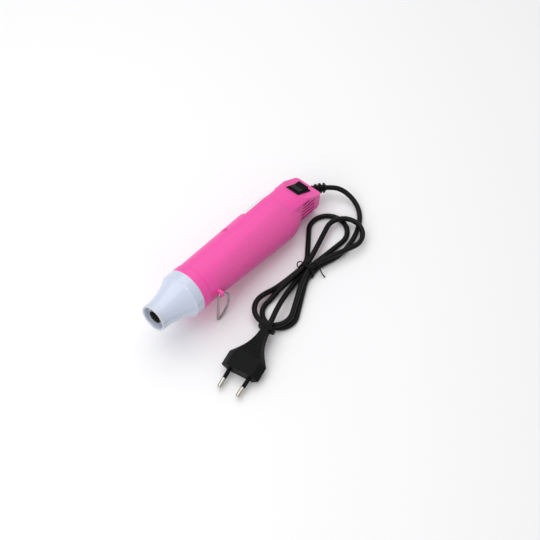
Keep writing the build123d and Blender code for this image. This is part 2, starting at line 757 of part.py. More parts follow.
# The lead and the tail, as corners laid by hand
lead_points = [
    relief_exit,
    relief_exit + exit_way * lead_first_run,
    Vector(127.8, -16.2, 10.7),
    Vector(129.3, -24.0, 8.0),
    Vector(128.4, -32.2, 5.3),
    Vector(125.1, -39.5, 3.3),
    Vector(119.8, -45.4, 2.4),
    Vector(112.6, -50.3, 2.4),
    Vector(103.8, -54.4, 2.4),
    Vector(93.0, -57.7, 2.4),
    Vector(80.5, -59.3, 2.4),
    Vector(67.5, -58.3, 2.4),
    lane_point("low_right", waist_joint + lead_last_run),
    lane_point("low_right", waist_joint)]
plug_neck_end = Vector(*plug_neck_place)
plug_way = Vector(
    math.cos(math.radians(plug_turn)) * math.cos(math.radians(plug_dip)),
    math.sin(math.radians(plug_turn)) * math.cos(math.radians(plug_dip)),
    math.sin(math.radians(plug_dip)))
tail_points = [
    lane_point("low_middle", -waist_joint),
    lane_point("low_middle", -waist_joint - tail_first_run),
    Vector(14.6, -50.2, 5.6),
    Vector(3.4, -53.0, 8.9),
    Vector(-7.9, -56.3, 12.0),
    Vector(-18.4, -60.0, 13.8),
    plug_neck_end + plug_way * plug_last_run,
    plug_neck_end]


def bends_for(points):
    """Radius of each bend of a hand-laid run: as wide as the shorter run beside it allows."""
    radii = []
    for before, here, after in zip(points, points[1:], points[2:]):
        run_in = here - before
        run_out = after - here
        half_turn = math.radians(run_in.get_angle(run_out)) / 2
        radii.append(bend_share * min(run_in.length, run_out.length) / math.tan(half_turn))
    return radii


def tube_along(path, radius):
    """A round tube swept along a path."""
    section = Plane(origin=path @ 0, z_dir=path % 0) * Circle(radius)
    return sweep(section, path=path)


def samples(path, step):
    """Points along a path, a step apart, as plain triples."""
    count = math.ceil(path.length / step)
    spots = [path.position_at(index / count) for index in range(count + 1)]
    return [(spot.X, spot.Y, spot.Z) for spot in spots]


def gap_to_run(spot, before, after):
    """Distance from a point to the straight run between two others."""
    run = [b - a for a, b in zip(before, after)]
    to_spot = [b - a for a, b in zip(before, spot)]
    share = sum(a * b for a, b in zip(run, to_spot)) / sum(a * a for a in run)
    share = min(1, max(0, share))
    return math.dist(spot, [a + share * b for a, b in zip(before, run)])


def least_gap(paths):
    """Least clear gap of a cord to itself, leaving out what is next to a point along the cord."""
    spots = []
    for path in paths:
        spots += samples(path, sample_step)[1:]
    gaps = []
    for index, spot in enumerate(spots):
        for other in range(index + sample_skip, len(spots) - 1):
            if math.dist(spot, spots[other]) < 2 * cord_width:
                gaps.append(gap_to_run(spot, spots[other], spots[other + 1]))
    return min(gaps) - cord_width


lead_path = FilletPolyline(*lead_points, radius=bends_for(lead_points))
hank_path = FilletPolyline(
    *[spot for spot, bend in hank_route], radius=[bend for spot, bend in hank_route[1:-1]])
tail_path = FilletPolyline(*tail_points, radius=bends_for(tail_points))
for name, path in (("cord_lead", lead_path), ("cord_hank", hank_path), ("cord_tail", tail_path)):
    placed[name] = tube_along(path, cord_radius)
    print(name, "length", round(path.length, 1), "volume over section times length",
          round(placed[name].volume / (math.pi * cord_radius ** 2 * path.length), 4))
print("lead bends", [round(r, 1) for r in bends_for(lead_points)])
print("tail bends", [round(r, 1) for r in bends_for(tail_points)])
print("hank bends", sorted({round(bend, 1) for spot, bend in hank_route[1:-1]}))
print("least gap of the cord to itself", round(least_gap([lead_path, hank_path, tail_path]), 2))

# Tie: a flat band round the five strands, with its twisted ends lying on the table
strand_quad = [
    (waist_y + step * lane_step, height)
    for step, height in (lanes["low_right"], lanes["high_right"], lanes["high_left"], lanes["low_left"])]
strand_face = make_face(Polyline(*strand_quad, close=True))
band_inside = offset(strand_face, amount=cord_radius + tie_gap)
band_outside = offset(strand_face, amount=cord_radius + tie_gap + tie_thickness)
tie_frame = Plane(origin=(waist_x - tie_width / 2, 0, 0), x_dir=(0, 1, 0), z_dir=(1, 0, 0))
band = tie_frame * extrude(band_outside - band_inside, tie_width)
tie_end_y = waist_y - 2 * lane_step - cord_radius - tie_gap - tie_thickness / 2
tie_end_levels = [lane_low * tie_end_drop_share, tie_end_radius, tie_end_radius]
tie_ends = [Vector(waist_x, tie_end_y, lane_low)]
for (along, aside), level in zip(tie_end_runs, tie_end_levels):
    tie_ends.append(Vector(waist_x + along, tie_end_y + aside, level))
tie_end = tube_along(FilletPolyline(*tie_ends, radius=bends_for(tie_ends)), tie_end_radius)
placed["cord_tie"] = band + tie_end

# Plug: a flat two-pin one, built along its own axis from the pin face to the cord
neck_shares = [
    (0, 1, 1), (0.129, 0.833, 0.971), (0.29, 0.629, 0.92),
    (0.484, 0.442, 0.832), (0.71, 0.317, 0.715), (1, 0.255, 0.628)]
neck_shapes = [
    (plug_prism_depth + along * plug_neck_length, across * plug_width, thick * plug_thickness)
    for along, across, thick in neck_shares]
plug_face = plug_neck_end - plug_way * plug_length
plug_left = Vector(-math.sin(math.radians(plug_turn)), math.cos(math.radians(plug_turn)), 0)
plug_frame = Plane(origin=plug_face, x_dir=plug_left, z_dir=plug_way)


def hexagon(width, thickness, bevel):
    """The plug's outline: flat top and bottom with a pointed edge at each side."""
    half = width / 2
    return make_face(Polyline(
        (half, 0), (half - bevel, thickness / 2), (bevel - half, thickness / 2),
        (-half, 0), (bevel - half, -thickness / 2), (half - bevel, -thickness / 2), close=True))


prism = extrude(hexagon(plug_width, plug_thickness, plug_bevel), plug_prism_depth)
prism = chamfer(prism.faces().sort_by(Axis.Z)[0].edges(), plug_edge)
neck_faces = [
    Pos(0, 0, along) * hexagon(width, thickness, plug_bevel * width / plug_width)
    for along, width, thickness in neck_shapes]
neck = loft(neck_faces)
flange = Pos(0, 0, plug_length - flange_length) * extrude(
    RectangleRounded(flange_width, flange_height, flange_corner), flange_length)
flange = chamfer(flange.faces().sort_by(Axis.Z)[-1].edges(), plug_edge)
flange = chamfer(flange.faces().sort_by(Axis.Z)[0].edges(), plug_edge)
plug_body = prism + neck + flange


def neck_thickness(along):
    """Thickness of the plug's taper at a distance from the pin face."""
    for (start, _, thick), (end, _, thin) in zip(neck_shapes, neck_shapes[1:]):
        if along <= end:
            return thick + (thin - thick) * (along - start) / (end - start)
    return neck_shapes[-1][2]


for index in range(groove_count):
    along = groove_start + index * groove_pitch
    for side in (-1, 1):
        plug_body -= Pos(0, side * (neck_thickness(along) / 2 - groove_depth), along) * Box(
            plug_width, plug_thickness, groove_width,
            align=(Align.CENTER, Align.MIN if side > 0 else Align.MAX, Align.CENTER))

pin_lean = math.degrees(math.atan((pin_spread - pin_spread_tips) / 2 / pin_reach))
pins = []
sleeves = []
for side in (-1, 1):
    pin_frame = Pos(side * pin_spread / 2, 0, 0) * Rot(0, side * pin_lean, 0) * Rot(180, 0, 0)
    core = Pos(0, 0, (sleeve_reach - pin_inset) / 2) * Cylinder(
        pin_core_radius, sleeve_reach + pin_inset)
    bright = Pos(0, 0, (sleeve_reach + pin_reach) / 2) * Cylinder(pin_radius, pin_reach - sleeve_reach)
    bright = fillet(bright.edges().sort_by(Axis.Z)[-1], pin_tip_round)
    pins.append(pin_frame * (core + bright))
    sleeve = Pos(0, 0, (sleeve_reach - sleeve_inset) / 2) * Cylinder(
        sleeve_radius, sleeve_reach + sleeve_inset)
    sleeves.append(pin_frame * (sleeve - core))
    plug_body -= pin_frame * (core + sleeve)
placed["plug_body"] = plug_frame * plug_body
placed["plug_pins"] = plug_frame * Compound(pins)
placed["plug_sleeves"] = plug_frame * Compound(sleeves)
print("plug face", plug_face, "way", plug_way, "left", plug_left)
for side in (-1, 1):
    pin_frame = Pos(side * pin_spread / 2, 0, 0) * Rot(0, side * pin_lean, 0) * Rot(180, 0, 0)
    tip = (plug_frame * pin_frame * Pos(0, 0, pin_reach)).position
    root = (plug_frame * pin_frame * Pos(0, 0, sleeve_reach)).position
    print("pin", side, "bright part from", root, "to", tip)

for name, solid in placed.items():
    export_step(solid, "parts/" + name + ".step")
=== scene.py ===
# %% [markdown]
# # A heat tool for embossing, dressed for its portrait
# A slim hand tool lies on a table with its nozzle held up by a wire stand, and its mains cord
# is folded into a hank beside it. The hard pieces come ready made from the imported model. This
# lesson gives them their finishes, lays the soft cord, and adds the small trims that a solid
# model leaves out.

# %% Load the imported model
import math

import bpy
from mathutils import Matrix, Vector


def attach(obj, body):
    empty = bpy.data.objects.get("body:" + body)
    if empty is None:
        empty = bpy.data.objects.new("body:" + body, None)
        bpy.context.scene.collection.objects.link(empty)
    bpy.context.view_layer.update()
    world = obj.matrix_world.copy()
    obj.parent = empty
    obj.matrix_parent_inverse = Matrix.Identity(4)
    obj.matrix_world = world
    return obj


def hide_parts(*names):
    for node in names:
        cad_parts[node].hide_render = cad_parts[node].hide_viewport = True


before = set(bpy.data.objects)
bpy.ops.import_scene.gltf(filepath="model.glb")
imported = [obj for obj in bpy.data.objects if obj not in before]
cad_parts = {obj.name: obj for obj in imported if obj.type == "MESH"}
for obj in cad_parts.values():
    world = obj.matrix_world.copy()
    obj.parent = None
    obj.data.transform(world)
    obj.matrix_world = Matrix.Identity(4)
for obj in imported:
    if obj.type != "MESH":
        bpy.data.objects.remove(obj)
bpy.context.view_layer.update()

# %% [markdown]
# ## The camera
# The photograph was taken from above the nozzle's right side with a long lens. The camera's
# place was worked out from the plug, whose sizes are standard, so it is written here as a
# target on the table, a distance, and the two angles of the line of sight.

# %% Camera
look_target = Vector((0.0202, -0.0211, 0.0))
look_distance = 0.899
look_heading = math.radians(41.0)
look_drop = math.radians(55.4)
lens_length = 66.67
sensor_width = 36.0
look = Vector((
    math.cos(look_heading) * math.cos(look_drop),
    math.sin(look_heading) * math.cos(look_drop),
    -math.sin(look_drop)))
camera_data = bpy.data.cameras.new("camera")
camera_data.lens = lens_length
camera_data.sensor_width = sensor_width
camera = bpy.data.objects.new("camera", camera_data)
bpy.context.collection.objects.link(camera)
camera.location = look_target - look * look_distance
camera.rotation_mode = "QUATERNION"
camera.rotation_quaternion = look.to_track_quat("-Z", "Y")
bpy.context.scene.camera = camera
print("camera stands at", [round(v, 3) for v in camera.location])

# %% [markdown]
# ## The mains cord
# The real cord is one rubber-sheathed flex of 4.8 mm. It leaves the strain relief, swings
# round behind the tool, goes four times back and forth through the tie, and ends in the plug.
# A NURBS curve is the honest way to draw it, because its control points are the few places
# where a hand would hold the flex, and everything between them bends by itself.

# %% Sizes of the cord and of the tie
mm = 0.001
cord_radius = 2.4 * mm
cord_gap = 0.6 * mm
tie_thickness = 0.8 * mm
tie_gap = 0.15 * mm
waist = Vector((39.3, -47.8, 0.0)) * mm
waist_half = 7.0 * mm
waist_joint = 3.4 * mm
print("the tie's middle lies at", [round(v, 4) for v in waist])

# %% [markdown]
# ## Lanes through the tie
# Inside the tie the five strands lie in two layers, three below and two in the grooves above,
# as round things settle by themselves. Each place is a lane with a name, so that the loops can
# say which lane they enter and which they leave by. The upper layer's height follows from the
# triangle between three strands that keep their gap.

# %% Lanes through the tie
lane_step = cord_radius + cord_gap / 2
lane_low = cord_radius + tie_thickness + tie_gap
lane_high = lane_low + math.sqrt((2 * cord_radius + cord_gap) ** 2 - lane_step ** 2)
lanes = {
    "low_left": (2, lane_low),
    "high_left": (1, lane_high),
    "low_middle": (0, lane_low),
    "high_right": (-1, lane_high),
    "low_right": (-2, lane_low)}


def lane_point(name, along):
    """A point of a lane through the tie, at a distance past the tie's middle."""
    step, height = lanes[name]
    return waist + Vector((along, step * lane_step, height))


print("layers at", round(lane_low, 5), "and", round(lane_high, 5))

# %% [markdown]
# ## Loops of the hank
# A stiff cord that is folded by hand lies in nearly straight legs with a round turn at each
# end. A leg leaves the tie on a line that just touches the turn's circle. The turn itself is a
# row of corners outside the circle, and a point on each leg just before and after it keeps the
# curve from tightening where the straight part ends.

# %% Legs and end turns
turn_corners = 7


def leg_heading(start, middle, radius, hand):
    """Heading of a leg from the tie that grazes the end turn's circle on one hand."""
    across = Vector((middle.x - start.x, middle.y - start.y))
    return math.atan2(across.y, across.x) + hand * math.asin(radius / across.length)


def leg_station(start, heading, reach, height):
    """The leg's own bend, at a distance from the tie and at its own height."""
    return Vector((
        start.x + reach * math.cos(heading), start.y + reach * math.sin(heading), height))


def end_turn(middle, radius, angle_in, angle_out, height):
    """Corners of a clockwise run round a circle, with a point on each leg just before and after."""
    sweep = (angle_in - angle_out) % (2 * math.pi)
    half_step = sweep / turn_corners / 2
    corner_radius = radius / math.cos(half_step)
    lead = radius * math.tan(half_step)
    places = [(angle_in, radius, -lead)]
    for index in range(turn_corners):
        places.append((angle_in - (2 * index + 1) * half_step, corner_radius, 0.0))
    places.append((angle_out, radius, lead))
    return [
        Vector((
            middle.x + reach * math.cos(at) + ahead * math.sin(at),
            middle.y + reach * math.sin(at) - ahead * math.cos(at), height))
        for at, reach, ahead in places]


print("each end turn has", turn_corners + 2, "points")

# %% Lay the four loops
# A row holds the side of the tie, the middle and radius of the end turn, the lanes in and out,
# the bend of the leg out (share of the leg, height), the turn's height, and the bend of the
# leg back. The lengths are in millimetres, and each share is of the leg's length.
loops = [
    (-1, (-9.8, -58.4), 15.2, "low_right", "high_left", (0.3, 2.6), 2.4, (0.43, 7.4)),
    (1, (91.3, -49.0), 16.8, "high_left", "high_right", (0.5, 7.9), 7.8, (0.17, 9.2)),
    (-1, (-12.4, -53.8), 16.8, "high_right", "low_left", (0.5, 8.0), 7.8, (0.4, 2.8)),
    (1, (86.8, -34.0), 17.6, "low_left", "low_middle", (0.3, 2.6), 2.4, (0.3, 2.6))]
hank_points = [lane_point("low_right", waist_joint)]
for side, place, reach, lane_in, lane_out, out_bend, turn_height, back_bend in loops:
    middle = Vector((*place, 0.0)) * mm
    radius = reach * mm
    start = lane_point(lane_in, side * waist_half)
    end = lane_point(lane_out, side * waist_half)
    way_out = leg_heading(start, middle, radius, 1)
    way_back = leg_heading(end, middle, radius, -1)
    out_length = (middle - start).length + radius
    back_length = (middle - end).length + radius
    hank_points += [start, leg_station(start, way_out, out_bend[0] * out_length, out_bend[1] * mm)]
    hank_points += end_turn(
        middle, radius, way_out + math.pi / 2, way_back - math.pi / 2, turn_height * mm)
    hank_points += [leg_station(end, way_back, back_bend[0] * back_length, back_bend[1] * mm), end]
hank_points.append(lane_point("low_middle", -waist_joint))
print("hank of", len(hank_points), "points")

# %% [markdown]
# ## Lead and tail
# The lead comes straight out of the strain relief before it bends down to the table, and the
# tail rises to the plug's neck and enters it in the plug's own direction. Both are free runs,
# so their points are given one by one, a hand's bend apart.

# %% Points of the lead
cord_exit = Vector((118.706, -4.782, 12.593)) * mm
exit_way = Vector((0.7389, -0.6691, -0.0790))
lead_points = [
    cord_exit,
    cord_exit + exit_way * 7.2 * mm,
    Vector((127.8, -16.2, 10.7)) * mm,
    Vector((129.3, -24.0, 8.0)) * mm,
    Vector((128.4, -32.2, 5.3)) * mm,
    Vector((125.1, -39.5, 3.3)) * mm,
    Vector((119.8, -45.4, 2.4)) * mm,
    Vector((112.6, -50.3, 2.4)) * mm,
    Vector((103.8, -54.4, 2.4)) * mm,
    Vector((93.0, -57.7, 2.4)) * mm,
    Vector((80.5, -59.3, 2.4)) * mm,
    Vector((67.5, -58.3, 2.4)) * mm,
    lane_point("low_right", waist_joint + 8.8 * mm)]
print("lead of", len(lead_points), "points")

# %% Points of the tail
plug_turn = math.radians(11.5)
plug_dip = math.radians(7.0)
plug_neck_end = Vector((-32.0, -63.9, 12.6)) * mm
plug_way = Vector((
    math.cos(plug_turn) * math.cos(plug_dip),
    math.sin(plug_turn) * math.cos(plug_dip),
    math.sin(plug_dip)))
tail_points = [
    lane_point("low_middle", -waist_joint - 8.5 * mm),
    Vector((14.6, -50.2, 5.6)) * mm,
    Vector((3.4, -53.0, 8.9)) * mm,
    Vector((-7.9, -56.3, 12.0)) * mm,
    Vector((-18.4, -60.0, 13.8)) * mm,
    plug_neck_end + plug_way * 7.5 * mm,
    plug_neck_end]
print("tail of", len(tail_points), "points")

# %% [markdown]
# ## One curve for the whole cord
# The three runs join into one spline, so the flex is smooth through the tie. The bevel has a
# radius of one metre, and each control point scales it to the cord's own.

# %% Draw the cord


def drawn_cord(name, runs, radius):
    """Round cords of one radius, each along a smooth open spline."""
    data = bpy.data.curves.new(name, "CURVE")
    data.dimensions = "3D"
    data.bevel_depth = 1.0
    data.bevel_resolution = 5
    data.resolution_u = 10
    data.use_fill_caps = True
    for points in runs:
        spline = data.splines.new("NURBS")
        spline.points.add(len(points) - 1)
        for control, spot in zip(spline.points, points):
            control.co = (*spot, 1.0)
            control.radius = radius
        spline.order_u = 3
        spline.use_endpoint_u = True
    piece = bpy.data.objects.new(name, data)
    bpy.context.collection.objects.link(piece)
    return piece


cord_points = lead_points + hank_points + tail_points
flex = drawn_cord("mains_flex", [cord_points], cord_radius)
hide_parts("cord_lead", "cord_hank", "cord_tail")
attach(flex, "tool")
print("cord of", len(cord_points), "points")

# %% [markdown]
# ## How the finishes are written
# A material is a chain of nodes. Writing it as sums and products keeps it readable, so a small
# class stands for one value on its way through the chain, and its operators add the Math
# nodes. Every other node comes from one method that takes the node's type, its settings and
# what goes into its sockets.

# %% Values that flow through a material


class Flow:
    """One value or colour on its way through a material."""

    def __init__(self, finish, socket):
        self.finish = finish
        self.socket = socket

    def math(self, operation, first, second=None):
        """A Math node of two values, or of one."""
        values = {0: first} if second is None else {0: first, 1: second}
        return self.finish.node("ShaderNodeMath", {"operation": operation}, values)

    def __add__(self, other):
        return self.math("ADD", self, other)

    def __radd__(self, other):
        return self.math("ADD", other, self)

    def __sub__(self, other):
        return self.math("SUBTRACT", self, other)

    def __rsub__(self, other):
        return self.math("SUBTRACT", other, self)

    def __mul__(self, other):
        return self.math("MULTIPLY", self, other)

    def __rmul__(self, other):
        return self.math("MULTIPLY", other, self)

    def __truediv__(self, other):
        return self.math("DIVIDE", self, other)

    def __pow__(self, other):
        return self.math("POWER", self, other)

    def hold(self, number):
        """Set the number that this value stands for."""
        self.socket.default_value = number
        return self

    def wave(self):
        """The sine of the value."""
        return self.math("SINE", self)

    def size(self):
        """The value without its sign."""
        return self.math("ABSOLUTE", self)

    def rise(self, low, high):
        """0 below one limit and 1 above the other, with a soft step between them."""
        return self.finish.node(
            "ShaderNodeMapRange", {"interpolation_type": "SMOOTHSTEP"},
            {"Value": self, "From Min": low, "From Max": high, "To Min": 0.0, "To Max": 1.0})


class Finish:
    """A material built around one Principled shader."""

    def __init__(self, name, colour, roughness, metallic=0.0, coat=0.0, coat_roughness=0.1):
        self.material = bpy.data.materials.new(name)
        self.material.use_nodes = True
        self.tree = self.material.node_tree
        self.shader = self.tree.nodes["Principled BSDF"]
        self.shader.inputs["Base Color"].default_value = (*colour, 1.0)
        self.shader.inputs["Roughness"].default_value = roughness
        self.shader.inputs["Metallic"].default_value = metallic
        self.shader.inputs["Coat Weight"].default_value = coat
        self.shader.inputs["Coat Roughness"].default_value = coat_roughness

    def node(self, kind, settings=None, values=None, out=0):
        """A node of this type, with its settings made first and then its sockets filled."""
        made = self.tree.nodes.new(kind)
        for name, setting in (settings or {}).items():
            setattr(made, name, setting)
        for name, value in (values or {}).items():
            if isinstance(value, Flow):
                self.tree.links.new(value.socket, made.inputs[name])
            else:
                made.inputs[name].default_value = value
        return Flow(self, made.outputs[out])

    def feed(self, **flows):
        """Link flows to the shader's sockets, whose spaces are written as underscores."""
        for name, flow in flows.items():
            self.tree.links.new(flow.socket, self.shader.inputs[name.replace("_", " ")])

    def spot(self):
        """The surface point in the object's own metres."""
        return self.node("ShaderNodeTexCoord", out="Object")

    def noise(self, scale, detail=3.0, rough=0.5):
        """Soft noise of so many bumps to the metre."""
        return self.node("ShaderNodeTexNoise", {"noise_dimensions": "3D"}, {
            "Vector": self.spot(), "Scale": scale, "Detail": detail, "Roughness": rough})

    def number(self, value):
        """A plain number as a flow, to stand on the left of a power."""
        return self.node("ShaderNodeValue").hold(value)

    def blend(self, mask, under, over):
        """One colour over another where the mask is 1."""
        return self.node("ShaderNodeMix", {"data_type": "RGBA"}, {
            "Factor": mask, 6: under if isinstance(under, Flow) else (*under, 1.0),
            7: over if isinstance(over, Flow) else (*over, 1.0)}, out=2)

    def dent(self, height, distance, strength=1.0):
        """Bump the surface by a height from 0 to 1, which stands for a distance in metres."""
        normal = self.node("ShaderNodeBump", None, {
            "Height": height, "Distance": distance, "Strength": strength})
        self.feed(Normal=normal)


def dress(node, finish):
    """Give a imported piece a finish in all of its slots."""
    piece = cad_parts[node]
    if not piece.material_slots:
        piece.data.materials.append(finish.material)
    for held in piece.material_slots:
        held.material = finish.material


print("pieces to dress:", len(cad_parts))

# %% [markdown]
# ## The tool's own axes
# The grip's grain and the shells' seam follow the barrel, which lies tipped up by six degrees.
# Dot products with the barrel's own axes give the distance from the nozzle's tip, the height
# above the axis and the distance to the side, whatever the piece.

# %% Barrel coordinates in a material
tip = Vector((-100.729, 1.693, 39.664)) * mm
pitch = math.radians(6.1)
barrel_way = Vector((math.cos(pitch), 0.0, -math.sin(pitch)))
barrel_up = Vector((math.sin(pitch), 0.0, math.cos(pitch)))
barrel_side = Vector((0.0, -1.0, 0.0))


def barrel_place(finish):
    """Millimetres along, aside and above in the barrel, and the angle from its top to its right."""
    from_tip = finish.node(
        "ShaderNodeVectorMath", {"operation": "SUBTRACT"}, {0: finish.spot(), 1: tip})
    parts = []
    for way in (barrel_way, barrel_side, barrel_up):
        part = finish.node(
            "ShaderNodeVectorMath", {"operation": "DOT_PRODUCT"}, {0: from_tip, 1: way}, "Value")
        parts.append(part * (1 / mm))
    along, aside, above = parts
    return along, aside, above, aside.math("ARCTAN2", aside, above)


print("the barrel is tipped by", round(math.degrees(pitch), 1), "degrees")

# %% [markdown]
# ## Pink shells
# The two shells are moulded in bright pink plastic with a satin skin. A Principled shader with a
# low specular level and a thin rough coat gives that soft shine, and a fine noise keeps the
# large smooth faces from looking like paint.

# %% Pink plastic
pink = (0.86, 0.1, 0.4)
shells = Finish("pink_plastic", pink, 0.36, coat=0.04, coat_roughness=0.3)
shells.shader.inputs["Specular IOR Level"].default_value = 0.32
along, aside, above, angle = barrel_place(shells)
skin = shells.noise(900.0, 4.0, 0.6)
tone = shells.noise(14.0, 2.0)
print("pink plastic", pink)

# %% [markdown]
# ## The grain of the grip
# On the side of the barrel a panel of small raised diamonds gives the fingers a hold. Carving
# thousands of diamonds would be slow, and at this size only their shading shows, so two crossed
# sine waves bump the surface. The panel's upper edge falls towards the nozzle in a curve, and
# its rear edge slants with the angle.

# %% Grip panel
grip_pitch = 2.6
grip_radius = 22.0
panel_start = 58.0
panel_end = 154.0
panel_slant = 7.0
edge_low = 0.12
edge_rise = 0.456
edge_start = 57.0
edge_half_run = 29.0
panel_foot = 2.2
left_top = 1.5
turn = angle * grip_radius
diamonds = ((along + turn) * (math.pi / grip_pitch)).wave() * (
    (along - turn) * (math.pi / grip_pitch)).wave()
raised = diamonds.size() ** 0.6
panel_front = along.rise(panel_start, panel_start + 1.5)
panel_rear = 1 - (along - angle.size() * panel_slant).rise(panel_end, panel_end + 2.0)
panel_edge = edge_low + shells.number(0.5) ** ((along - edge_start) / edge_half_run) * edge_rise
above_foot = 1 - angle.size().rise(panel_foot, panel_foot + 0.06)
panel_right = (angle - panel_edge).rise(0.0, 0.05) * above_foot
panel_left = (0 - angle).rise(left_top, left_top + 0.05) * above_foot
panel = panel_front * panel_rear * (panel_right + panel_left)
print("diamonds every", grip_pitch, "mm, from", panel_start, "to", panel_end)

# %% [markdown]
# ## Seam, label and painted shade behind the slots
# A fine dark line marks where the shells meet. A blank pale label lies on the upper left of the
# barrel. Light that enters the air slots is lost among the works, so painted shade darkens the
# walls within the head below the sloping top, where a camera looks only through the slots.

# %% Masks of the shells
label_start = 127.6
label_end = 168.0
label_top = 0.62
label_foot = 1.4
label_blur = 0.01
head_start = 173.0
head_end = 195.0
head_low = -7.2
head_high = 14.8
head_half_width = 14.3
slope_start = 185.5
slope_top = 16.0
slope_fall = 0.4557
seam = 1 - aside.size().rise(0.03, 0.14)
label = along.rise(label_start, label_start + 0.8) * (
    1 - along.rise(label_end, label_end + 0.8)) * (
    1 - (angle + label_top).rise(-label_blur, label_blur)) * (
    angle + label_foot).rise(-label_blur, label_blur)
slope_level = slope_top - (along - slope_start) * slope_fall
# painted shade on the walls within the head, seen through the air slots
painted_slot_shade = along.rise(head_start, head_start + 0.5) * (
    1 - along.rise(head_end, head_end + 0.5)) * above.rise(head_low, head_low + 0.2) * (
    1 - (above - slope_level).rise(-1.8, -1.6)) * (
    1 - above.rise(head_high, head_high + 0.2)) * (
    1 - aside.size().rise(head_half_width, head_half_width + 0.5))
print("label from", label_start, "to", label_end)

# %% Colours of the shells
pink_tone = shells.blend(tone, (0.87, 0.08, 0.385), (0.895, 0.092, 0.41))
# painted shade: the hollows between the grip's diamonds are darkened
pink_grip_painted_shade = shells.blend(panel * (1 - raised) * 0.45, pink_tone, (0.62, 0.05, 0.26))
# painted highlight: the crowns of the grip's diamonds are lightened
pink_grip_painted_light = shells.blend(panel * raised * 0.4, pink_grip_painted_shade, (0.96, 0.17, 0.5))
pink_seam = shells.blend(seam * 0.35, pink_grip_painted_light, (0.5, 0.04, 0.2))
# painted shade: the walls behind the slots are darkened almost to black
pink_with_slot_shade = shells.blend(painted_slot_shade * 0.9, pink_seam, (0.3, 0.008, 0.07))
shells.feed(
    Base_Color=shells.blend(label, pink_with_slot_shade, (0.8, 0.8, 0.8)),
    Roughness=0.34 + skin * 0.1 + panel * 0.08 + label * 0.1)
shells.dent(panel * raised * 0.9 + skin * 0.02 + label * 0.1 - seam * 0.15, 0.8 * mm, 0.42)
for node in ("left_shell", "right_shell"):
    dress(node, shells)
print("pink plastic has", len(shells.tree.nodes), "nodes")

# %% [markdown]
# ## White nozzle shroud
# The shroud is a harder plastic, bluish white and glossy, so a clear coat carries its sharp
# highlights. The last millimetres at the mouth are a little warmer in tone, as the heat leaves
# them, and a hair-fine mould line runs along the side.

# %% Shroud plastic
shroud_white = (0.6, 0.66, 0.8)
warm_white = (0.57, 0.59, 0.64)
warm_length = 9.0
mould_angle = 1.02
shroud = Finish("white_plastic", shroud_white, 0.22, coat=0.4, coat_roughness=0.06)
along, _, _, angle = barrel_place(shroud)
warmth = (1 - along.rise(0.0, warm_length)) * (0.35 + shroud.noise(120.0) * 0.4)
mould_line = 1 - (angle - mould_angle).size().rise(0.004, 0.012)
shroud_skin = shroud.noise(260.0, 3.0)
shroud.feed(
    Base_Color=shroud.blend(warmth, shroud_white, warm_white),
    Roughness=0.18 + shroud_skin * 0.1)
shroud.dent(shroud_skin * 0.05 - mould_line * 0.5, 0.2 * mm, 0.5)
dress("nozzle_shroud", shroud)
print("white plastic has", len(shroud.tree.nodes), "nodes")

# %% [markdown]
# ## Metals
# Drawn steel, spring wire, plated pins and brass all use one recipe: a metal whose roughness
# is stretched into fine lines along the way the piece was drawn, with a little tarnish.

# %% Metal recipe
lines_along = 60.0
lines_across = 2200.0
tarnish_share = 0.55


def metal(name, colour, roughness, streaks, tarnish):
    """A metal with fine lines and a darker tarnish in patches."""
    made = Finish(name, colour, roughness, metallic=1.0)
    stretched = made.node("ShaderNodeMapping", {"vector_type": "POINT"}, {
        "Vector": made.spot(), "Scale": (lines_along, lines_across, lines_across)})
    lines = made.node("ShaderNodeTexNoise", {"noise_dimensions": "3D"}, {
        "Vector": stretched, "Scale": 1.0, "Detail": 2.0, "Roughness": 0.6})
    patches = made.noise(180.0, 4.0, 0.6)
    made.feed(
        Base_Color=made.blend(
            patches * tarnish, colour, tuple(part * tarnish_share for part in colour)),
        Roughness=roughness - streaks / 2 + lines * streaks + patches * 0.06)
    made.dent(lines, 0.02 * mm, 0.3)
    return made


print("fine lines to the metre:", lines_across)

# %% Metals of the tool
steel_tube = metal("tube_steel", (0.3, 0.29, 0.28), 0.38, 0.16, 0.7)
stand_wire = metal("stand_wire", (0.4, 0.39, 0.38), 0.2, 0.1, 0.4)
pin_plating = metal("pin_plating", (0.56, 0.53, 0.49), 0.16, 0.08, 0.3)
screw_steel = metal("screw_steel", (0.46, 0.46, 0.47), 0.3, 0.12, 0.4)
motor_steel = metal("motor_steel", (0.56, 0.56, 0.57), 0.32, 0.16, 0.3)
bronze = metal("bronze", (0.55, 0.34, 0.16), 0.36, 0.12, 0.4)
contact_brass = metal("contact_brass", (0.72, 0.5, 0.2), 0.28, 0.12, 0.35)
heating_wire = metal("heating_wire", (0.3, 0.28, 0.27), 0.45, 0.1, 0.5)
for node, made in {
        "heat_tube": steel_tube, "heater_bracket": steel_tube, "stand_loop": stand_wire,
        "plug_pins": pin_plating, "shell_screws": screw_steel, "clamp_screws": screw_steel,
        "motor_can": motor_steel, "motor_shaft": motor_steel, "motor_bush": bronze,
        "motor_terminals": contact_brass, "switch_terminals": contact_brass,
        "heating_coil": heating_wire}.items():
    dress(node, made)
    print(node, "in", made.material.name)

# %% [markdown]
# ## Dark plastics and rubber
# Everything black on the tool differs only in how it takes the light: the plug and the switch
# frame are matt and finely grained, the rocker is smoother, and the flex is satin with faint
# scuffs. One recipe makes them all, and the paler plastics inside as well.

# %% Moulded recipe
scuff_gain = 1.6
scuff_lift = 0.006


